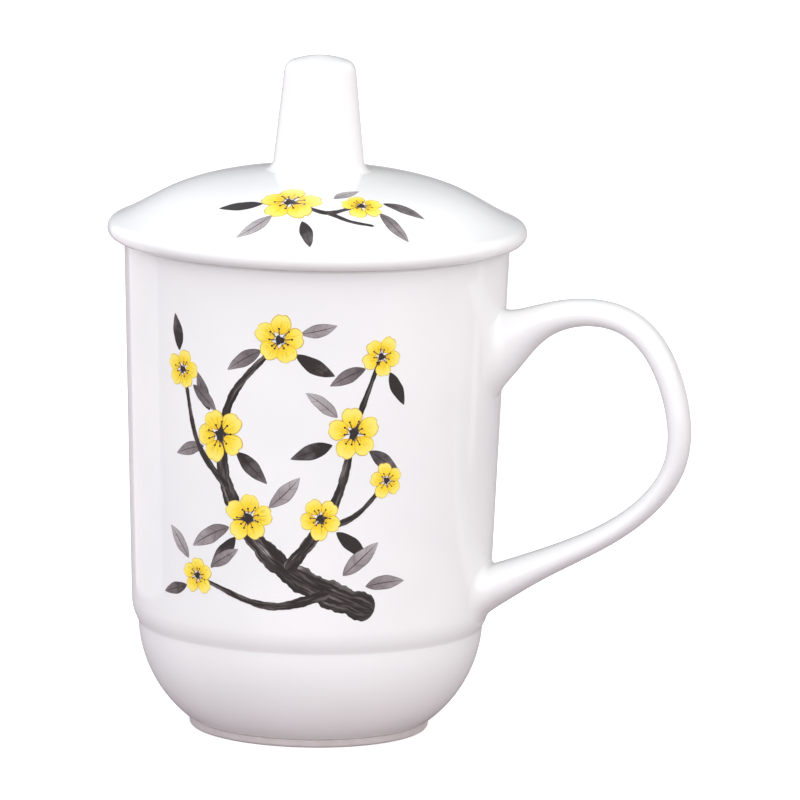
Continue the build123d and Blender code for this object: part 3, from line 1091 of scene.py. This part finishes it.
@dataclass
class PaintedSpray:
    """A spray of blossoms, leaves and twigs in three enamels, each mark a thin closed film on the glaze.

    Each mark starts with its place across and along the spray. A blossom then has its width and its turn in
    degrees, a leaf its length and its direction in degrees, and a touch of a stroke half the stroke's
    width. Lifts and layers are in millimetres. The sizes of a petal, a heart and a stamen are shares of the
    width of the flower. Waves of the hand are pairs of a size and a pitch.
    """

    name: str
    body: Body
    ground: WallGround | DomeGround
    blossoms: list[tuple[float, float, float, float]]
    leaves: list[tuple[float, float, float, float]]
    strokes: list[list[tuple[float, float, float]]]
    seed: int
    sink: float = 0.03
    leaf_lift: float = 0.030
    leaf_layer: float = 0.0008
    twig_lift: float = 0.052
    twig_layer: float = 0.003
    petal_lift: float = 0.068
    petal_layer: float = 0.004
    heart_lift: float = 0.094
    stamen_lift: float = 0.090
    petals: int = 5
    petal_sides: int = 44
    petal_out: float = 0.285
    petal_reach: float = 0.200
    petal_tip: float = 0.490
    petal_swell: float = 0.012
    petal_wobble: float = 0.007
    petal_waist: float = 0.30
    notch_depth: float = 0.035
    notch_width: float = 0.22
    heart_reach: float = 0.085
    heart_sides: int = 20
    stamens: int = 9
    stamen_start: float = 0.07
    stamen_ends: tuple[float, float] = (0.17, 0.25)
    stamen_half: float = 0.0085
    stamen_dot: float = 0.021
    leaf_rows: int = 64
    leaf_slimness: float = 0.36
    leaf_bend: float = 0.16
    leaf_tones: tuple[float, float] = (-0.34, 0.50)
    twig_rows: int = 420
    hand_waves: tuple[tuple[float, float], ...] = ((0.08, 0.8), (0.05, 1.9), (0.025, 4.1))

    def discs(self, flat: Array, lift: Array | float, rim: Array) -> Array:
        """Lays disc grids on the ground, standing off it inside and sunk in at their outline and underside.

        Args:
            flat: Flat points as (..., rings, columns, 2), with the underside's middle as last ring.
            lift: How far the top of each disc stands off the ground.
            rim: Share of the outline for each ring.

        Returns:
            Points as (..., rings, columns, 3).
        """
        off = np.where(rim < EDGE_SHARE, lift, -self.sink)
        off = np.broadcast_to(off, flat.shape[:-1]).copy()
        off[..., -1, :] = -self.sink
        return self.ground.lay(flat, off)

    def petal_surface(self) -> Surface:
        """All petals of the spray.

        Formula: a petal is a disc about a point out from its flower's heart. At an angle t from the petal's
        tip its outline is the reach, drawn in towards the heart, a little uneven and notched at the tip by
        a bell curve. Rings of the disc are shares of the outline.

        Returns:
            The surface, with the distance from the heart, the place across the petal, the share of the
            outline and a tone for each petal as point values.
        """
        chance = np.random.default_rng(self.seed)
        across, along, width, turn = np.array(self.blossoms).T
        shape = (len(self.blossoms), self.petals, 1, 1)
        rim = np.array([0, 0.2, 0.4, 0.58, 0.72, 0.83, 0.91, 0.96, 1, 0])[:, None]
        angle = -np.linspace(0.0, 2 * np.pi, self.petal_sides, endpoint=False)
        reach = chance.uniform(0.92, 1.08, shape)
        wobble = chance.uniform(0.0, 2 * np.pi, shape)
        from_tip = (angle + np.pi) % (2 * np.pi) - np.pi
        notch = self.notch_depth * np.exp(-((from_tip / self.notch_width) ** 2))
        uneven = self.petal_wobble * np.sin(3 * angle + wobble)
        outline = self.petal_reach + self.petal_swell * np.cos(angle) - notch * reach + uneven
        narrow = 1 - self.petal_waist * np.clip(-np.cos(angle), 0.0, 1.0) ** 1.5
        out = (self.petal_out + rim * outline * np.cos(angle)) * reach
        aside = rim * outline * np.sin(angle) * narrow
        order = np.arange(self.petals)[:, None, None]
        axis = np.radians(turn)[:, None, None, None] + (2 * np.pi / self.petals) * order
        axis = axis + chance.uniform(-0.07, 0.07, shape)
        flat = width[:, None, None, None, None] * directed(axis, out, aside)
        flat = self.ground.spot(across, along)[:, None, None, None, :] + flat
        points = self.discs(flat, self.petal_lift + self.petal_layer * order, rim)
        radial = np.hypot(out, aside) / self.petal_tip
        side = np.arctan2(aside, out) / (np.pi / self.petals)
        tone = chance.uniform(0.0, 9.0, shape)
        grids = (-1, len(rim), len(angle))
        values = {"radial": radial, "side": side, "rim": rim, "tone": tone}
        for key, value in values.items():
            values[key] = np.broadcast_to(value, points.shape[:-1]).reshape(grids)
        return Surface().add(points.reshape(*grids, 3), **values)

    def heart_surface(self) -> Surface:
        """The dark heart of each flower and its stamens.

        Formula: the heart is an uneven disc. Each stamen is a slim disc drawn out along a ray from the
        heart, and a dot at the ray's end.

        Returns:
            The surface, with places along and across and a tone as point values.
        """
        chance = np.random.default_rng(self.seed + 1)
        across, along, width, turn = np.array(self.blossoms).T
        spots = self.ground.spot(across, along)[:, None, None, :]
        size = width[:, None, None, None]
        rim = np.array([0, 0.5, 0.85, 0.95, 1, 0])[:, None]
        angle = -np.linspace(0.0, 2 * np.pi, self.heart_sides, endpoint=False)
        ring = rim[..., None] * directed(angle, 1.0, 0.0)
        uneven = 1.0
        for swing, lobes in ((0.16, 3), (0.10, 5)):
            uneven = uneven + swing * np.sin(lobes * angle + chance.uniform(0, 6, (len(width), 1, 1)))
        values = {"along": rim, "across": 0.0, "tone": 1.0}
        hearts = spots + self.heart_reach * size * uneven[..., None] * ring
        surface = Surface().add(self.discs(hearts, self.heart_lift, rim), **values)
        ray = np.radians(turn)[:, None] + 2 * np.pi / self.stamens * np.arange(self.stamens)
        ray = (ray + chance.uniform(-0.18, 0.18, ray.shape))[..., None, None]
        far = chance.uniform(*self.stamen_ends, ray.shape)
        out = (self.stamen_start + far) / 2 + (far - self.stamen_start) / 2 * ring[..., 0]
        hair = directed(ray, out, self.stamen_half * ring[..., 1])
        dot = directed(ray, far, 0.0) + self.stamen_dot * ring
        for drawn in (hair, dot):
            flat = spots[:, None] + size[:, None] * drawn
            surface.add(self.discs(flat.reshape(-1, *ring.shape), self.stamen_lift, rim), **values)
        return surface

    def strips(self, line: Array, half: Array, lift: Array) -> Array:
        """Closed films along centre lines.

        Formula: across a line the film runs from one edge over the top to the other and back underneath.
        Its edges are sunk in the glaze, and its width is zero at both ends, which closes it.

        Args:
            line: Centre lines as (strips, rows, 2).
            half: Half widths to the left and right as (2, strips, rows).
            lift: How far the top stands off the ground, for each strip.

        Returns:
            Grids of points as (strips, rows, columns, 3).
        """
        way = unit(np.gradient(line, axis=1))
        normal = np.stack([-way[..., 1], way[..., 0]], axis=-1)
        across = self.strip_across()
        reach = np.where(across > 0, half[0][..., None], half[1][..., None]) * across
        flat = line[:, :, None, :] + reach[..., None] * normal[:, :, None, :]
        top = np.abs(across) < EDGE_SHARE
        top[-2:] = False
        return self.ground.lay(flat, np.where(top, lift[:, None, None], -self.sink))

    def strip_across(self) -> Array:
        """Places across a film, from its left edge over the top to the right edge and back underneath."""
        half = np.array([0.08, 0.3, 0.55, 0.8, 0.95, 1.0])
        return np.concatenate([half[::-1], [0.0], -half, [-0.4, 0.4]])

    def leaf_surface(self) -> Surface:
        """All leaves of the spray.

        Formula: the midrib leaves the root in the leaf's direction and bends as the square of the distance.
        The half width is that of the slimness times sin(pi u^0.9)^0.85, with a slow ripple, where u is the
        share of the length.

        Returns:
            The surface, with the share along the leaf, the place across it and its tone as point values.
        """
        chance = np.random.default_rng(self.seed + 2)
        across, along, length, angle = np.array(self.leaves).T
        count = len(self.leaves)
        length = length[:, None]
        share = np.linspace(0.0, 1.0, self.leaf_rows)
        bend = chance.uniform(-self.leaf_bend, self.leaf_bend, (count, 1))
        line = directed(np.radians(angle)[:, None], share * length, bend * share**2 * length)
        line = line + self.ground.spot(across, along)[:, None, :]
        shape = np.sin(np.pi * share**0.9) ** 0.85
        phase = chance.uniform(0.0, 6.0, (2, count, 1))
        ripple = 1 + 0.06 * np.sin(6 * share + phase) + 0.025 * np.sin(15 * share + 2 * phase)
        half = self.leaf_slimness / 2 * length * shape * ripple
        points = self.strips(line, half, self.leaf_lift + self.leaf_layer * np.arange(count))
        tone = chance.permutation(np.linspace(*self.leaf_tones, count))[:, None, None]
        return Surface().add(points, along=share[None, :, None], across=self.strip_across(), tone=tone)

    def twig_surface(self) -> Surface:
        """All brush strokes of the spray.

        Formula: the centre line is a spline through the stroke's points. The half width runs between
        theirs, with a few waves of the hand on each side, and closes in a quarter circle at each end.

        Returns:
            The surface, with the length along the stroke and the place across it in millimetres and the
            stroke's weight as point values.
        """
        surface = Surface()
        for order, stroke in enumerate(self.strokes):
            across, along, half_width = np.array(stroke).T
            points = self.ground.spot(across, along)
            line = spline_line(points, points[1] - points[0], points[-1] - points[-2], self.twig_rows)
            far = lengths_along(line)
            half = np.interp(far, np.linspace(0.0, far[-1], len(stroke)), half_width)
            shift = np.array([[0.0], [50.0]]) + 7.0 * order
            waves = sum(swing * np.sin(pitch * far + shift) for swing, pitch in self.hand_waves)
            end_width = np.where(far < far[-1] / 2, half_width[0], 2 * half_width[-1])
            near_end = np.minimum(far, far[-1] - far) / end_width
            close = np.sqrt(1 - (1 - np.clip(near_end, 0.0, 1.0)) ** 2)
            sides = (half * (1 + waves) * close)[:, None, :]
            films = self.strips(line[None], sides, np.array([self.twig_lift + self.twig_layer * order]))
            half = half[None, :, None]
            wide = self.strip_across() * half
            surface.add(films, along=far[None, :, None], across=wide, tone=1.0 + half / 3)
        return surface

    def build(self, finishes: Finishes) -> None:
        """Makes the four pieces of the spray.

        Args:
            finishes: The cup's materials.
        """
        parts = {
            "blossoms": (self.petal_surface(), Slot.YELLOW, "blossoms"),
            "hearts": (self.heart_surface(), Slot.INK, "centres"),
            "twigs": (self.twig_surface(), Slot.INK, "branch"),
            "foliage": (self.leaf_surface(), Slot.GREY, "leaves"),
        }
        for part, (surface, slot, node) in parts.items():
            finishes.dress(surface, f"{self.name}_{part}", self.body, slot, f"{self.name}_print_{node}")


def cup_spray(cup: CupShell) -> PaintedSpray:
    """The large spray on the front of the cup.

    Args:
        cup: The cup that it is painted on.

    Returns:
        The spray.
    """
    # Across, along, width and turn of each
    blossoms = [
        (1.0, 60.5, 11.5, 10), (-12.5, 39.0, 12.0, 40), (-22.5, 52.0, 9.0, 5), (17.0, 40.5, 11.5, 25),
        (23.0, 57.0, 9.0, 60), (-5.5, 21.5, 11.0, 15), (10.0, 22.0, 9.5, 50), (24.5, 30.0, 8.0, 30),
        (-18.0, 7.5, 8.5, 20),
    ]
    # Across, along, length and direction of each
    leaves = [
        (-3.0, 58.0, 9.0, 205), (4.5, 57.5, 9.5, -35), (5.5, 62.0, 8.0, 8), (-8.5, 35.5, 9.5, -38),
        (-15.0, 44.0, 8.5, 120), (-16.5, 36.0, 8.0, 190), (12.5, 38.0, 9.5, 198), (20.5, 36.5, 9.0, -30),
        (13.5, 44.0, 8.5, 135), (-10.0, 19.0, 10.5, 200), (-8.5, 17.0, 9.5, 235), (-1.0, 24.0, 9.5, 40),
        (13.5, 19.0, 9.0, -35), (-21.0, 5.0, 7.5, 200), (-20.5, 11.0, 8.5, 125), (-14.5, 10.0, 8.0, 35),
        (15.0, 9.5, 10.5, 42), (20.0, 7.0, 9.0, 12), (19.5, 54.5, 8.5, 200), (25.0, 53.5, 8.0, -65),
        (-19.5, 49.0, 8.0, -35), (-23.5, 56.0, 8.0, 95),
    ]
    # Across, along and half width of each touch, stroke by stroke
    strokes = [
        [
            (22.0, 1.5, 3.2), (12.0, 5.5, 3.0), (3.0, 10.5, 2.5), (-5.0, 18.0, 2.0),
            (-10.5, 27.5, 1.5), (-12.0, 38.0, 1.1), (-9.0, 48.5, 0.8), (0.5, 59.5, 0.5),
        ],
        [(3.0, 10.5, 1.5), (9.5, 19.0, 1.2), (14.5, 29.0, 0.9), (17.0, 40.0, 0.7), (22.5, 56.0, 0.4)],
        [(-10.5, 27.5, 0.9), (-17.5, 35.5, 0.6), (-22.0, 51.0, 0.4)],
        [(9.5, 19.0, 0.8), (17.5, 22.5, 0.6), (24.0, 29.0, 0.4)],
        [(12.0, 5.5, 1.2), (1.0, 2.5, 0.8), (-17.0, 7.0, 0.4)],
    ]
    return PaintedSpray("cup", Body.CUP, WallGround(cup), blossoms, leaves, strokes, seed=11)


def lid_spray(lid: DomedLid) -> PaintedSpray:
    """The small spray on the front of the lid.

    Args:
        lid: The lid that it is painted on.

    Returns:
        The spray.
    """
    blossoms = [(-7.0, 27.5, 14.0, 20), (8.5, 29.0, 9.5, 50)]
    leaves = [
        (-13.0, 29.0, 9.5, 188), (-11.0, 33.0, 9.0, 235), (-4.5, 34.5, 8.0, 300), (12.5, 32.0, 9.5, -35),
        (13.5, 28.5, 9.0, 10), (2.5, 25.5, 7.5, 62),
    ]
    strokes = [
        [(-7.0, 27.5, 0.5), (1.0, 31.5, 0.7), (8.5, 29.0, 0.4)],
        [(1.0, 31.5, 0.6), (6.0, 34.5, 0.5), (11.0, 36.0, 0.3)],
    ]
    return PaintedSpray("lid", Body.LID, DomeGround(lid), blossoms, leaves, strokes, seed=23)


# Studio


@dataclass(frozen=True)
class Softbox:
    """A soft rectangular light, with sizes in metres, and whether it only shows as gloss."""

    name: str
    place: tuple[float, float, float]
    aim: tuple[float, float, float]
    size: tuple[float, float]
    power: float
    colour: tuple[float, float, float] = (1.0, 1.0, 1.0)
    gloss_only: bool = False

    def build(self) -> None:
        """Adds the light."""
        light = bpy.data.lights.new(self.name, "AREA")
        light.shape = "RECTANGLE"
        light.size, light.size_y = self.size
        light.energy = self.power
        light.color = self.colour
        lamp = bpy.data.objects.new(self.name, light)
        lamp.location = self.place
        way = Vector(self.aim) - Vector(self.place)
        lamp.rotation_euler = way.to_track_quat("-Z", "Y").to_euler()
        lamp.visible_camera = False
        lamp.visible_diffuse = not self.gloss_only
        bpy.context.scene.collection.objects.link(lamp)


@dataclass(frozen=True)
class Lobe:
    """A broad glow of the surroundings: the direction that it comes from, its strength and its colour."""

    way: tuple[float, float, float]
    strength: float
    colour: tuple = WHITE


@dataclass
class Studio:
    """Pale floor, soft light all round and a camera at the photograph's angle. Sizes are in metres."""

    azimuth: float = 12.0
    elevation: float = 9.99
    roll: float = 1.025
    distance: float = 2.0
    lens: float = 415.35
    target: tuple[float, float, float] = (0.0, 0.0, 0.075)
    aim_right: float = 0.0185
    aim_down: float = 0.0034
    low_glow: tuple = (0.200, 0.200, 0.202, 1.0)
    high_glow: tuple = (0.148, 0.150, 0.154, 1.0)
    lobes: tuple[Lobe, ...] = (
        Lobe((-0.97, -0.20, 0.12), 1.12, (0.930, 0.962, 1.025, 1.0)),
        Lobe((0.82, -0.30, 0.48), 1.19),
        Lobe((0.15, -0.93, 0.34), 0.91, (0.970, 0.988, 1.010, 1.0)),
    )
    boxes: tuple[Softbox, ...] = (
        Softbox("key", (-0.55, -1.00, 1.22), (0.0, 0.0, 0.08), (0.9, 0.9), 1.76, (0.955, 0.978, 1.0)),
        Softbox(
            "left_strip", (-0.144, 0.044, 0.15), (0.0, 0.0, 0.15), (0.11, 0.30), 0.074, gloss_only=True
        ),
        Softbox(
            "right_strip", (0.255, 0.157, 0.17), (0.0, 0.0, 0.17), (0.035, 0.34), 0.022, gloss_only=True
        ),
    )
    floor_paper: MattPaper = MattPaper(
        "studio_paper", (0.800, 0.800, 0.800, 1.0), (0.780, 0.780, 0.780, 1.0), 0.9, glow=0.60
    )
    table_paper: MattPaper = MattPaper(
        "table_paper", (0.430, 0.365, 0.380, 1.0), (0.410, 0.345, 0.360, 1.0), 0.95
    )
    floor_radius: float = 9.0
    floor_rings: int = 24
    floor_segments: int = 96
    table_depth: float = 0.0005

    def camera(self) -> None:
        """Adds the camera, which looks past the middle of the cup so that the handle fits the picture."""
        turn, rise, lean = (math.radians(angle) for angle in (self.azimuth, self.elevation, self.roll))
        level = Vector((math.cos(turn), math.sin(turn), 0.0))
        back = Vector((math.sin(turn) * math.cos(rise), -math.cos(turn) * math.cos(rise), math.sin(rise)))
        over = back.cross(level)
        right = level * math.cos(lean) + over * math.sin(lean)
        up = over * math.cos(lean) - level * math.sin(lean)
        place = Vector(self.target) + back * self.distance
        aim = Vector(self.target) + right * self.aim_right - up * self.aim_down
        back = (place - aim).normalized()
        right = (right - back * right.dot(back)).normalized()
        up = back.cross(right)
        data = bpy.data.cameras.new("camera")
        data.lens = self.lens
        data.sensor_width = 36.0
        data.clip_end = 100.0
        camera = bpy.data.objects.new("camera", data)
        camera.matrix_world = Matrix.Translation(place) @ Matrix((right, up, back)).transposed().to_4x4()
        bpy.context.scene.collection.objects.link(camera)
        bpy.context.scene.camera = camera

    def floor(self) -> None:
        """Adds the floor that is seen, and a table top just below it that only throws light on the cup.

        Formula: both are flat discs whose rings lie at squared shares of their radius.
        """
        share = np.linspace(0.0, 1.0, self.floor_rings)[:, None] ** 2
        discs = (("floor", self.floor_paper, 0.0), ("table", self.table_paper, self.table_depth))
        for name, paper, depth in discs:
            rings = np.hstack([share * self.floor_radius, np.full_like(share, -depth)])[::-1] / MILLIMETRE
            disc = Surface().add(turned(rings, self.floor_segments)).to_object(name)
            disc.data.materials.append(paper.make())
            seen = name == "floor"
            disc.visible_camera = seen
            disc.visible_diffuse = not seen
            disc.visible_glossy = not seen
            disc.visible_shadow = not seen

    def sky(self) -> None:
        """Adds a glow from all round, faint by itself and strong in a few lobes, before a white backdrop.

        Formula: the glow in a direction d is a blend from low to high by d's height, plus for each lobe its
        strength times the part of d along the lobe's way, where that is above zero. The camera sees white.
        """
        desk = Desk(bpy.data.worlds.new("studio"))
        way = desk.node("TexCoord").outputs["Generated"]
        rise = desk.node("SeparateXYZ", {0: way}).outputs["Z"]
        colour = desk.blend(desk.spread(rise, -0.1, 0.7), self.low_glow, self.high_glow)
        glow = desk.node("Background", {"Color": colour}).outputs[0]
        for lobe in self.lobes:
            inputs = {0: way, 1: Vector(lobe.way).normalized()}
            part = desk.node("VectorMath", inputs, operation="DOT_PRODUCT").outputs["Value"]
            strength = desk.node("MapRange", {"Value": part, "To Max": lobe.strength}).outputs["Result"]
            more = desk.node("Background", {"Color": lobe.colour, "Strength": strength}).outputs[0]
            glow = desk.node("AddShader", {0: glow, 1: more}).outputs[0]
        backdrop = desk.node("Background", {"Color": WHITE}).outputs[0]
        seen = desk.node("LightPath").outputs["Is Camera Ray"]
        glow = desk.node("MixShader", {0: seen, 1: glow, 2: backdrop}).outputs[0]
        desk.node("OutputWorld", {"Surface": glow})
        bpy.context.scene.world = desk.owner

    def build(self) -> None:
        """Adds the camera, the floor, the glow and the lights, and shows colours as they are."""
        self.camera()
        self.floor()
        self.sky()
        for box in self.boxes:
            box.build()
        bpy.context.scene.view_settings.view_transform = "Standard"


def corners(box: tuple[Vector, Vector]) -> list[list[float]]:
    """The two corners of a box as plain lists."""
    return [list(corner) for corner in box]


def main() -> None:
    """Builds the studio and the cup's pieces in order."""
    logging.basicConfig(level=logging.INFO, format="%(name)s %(message)s")
    Studio().build()
    finishes = Finishes()
    cup, lid = CupShell(), DomedLid()
    for assembly in (cup, FootRim(), StrapHandle(cup), lid, cup_spray(cup), lid_spray(lid)):
        assembly.build(finishes)


if __name__ == "__main__":
    main()
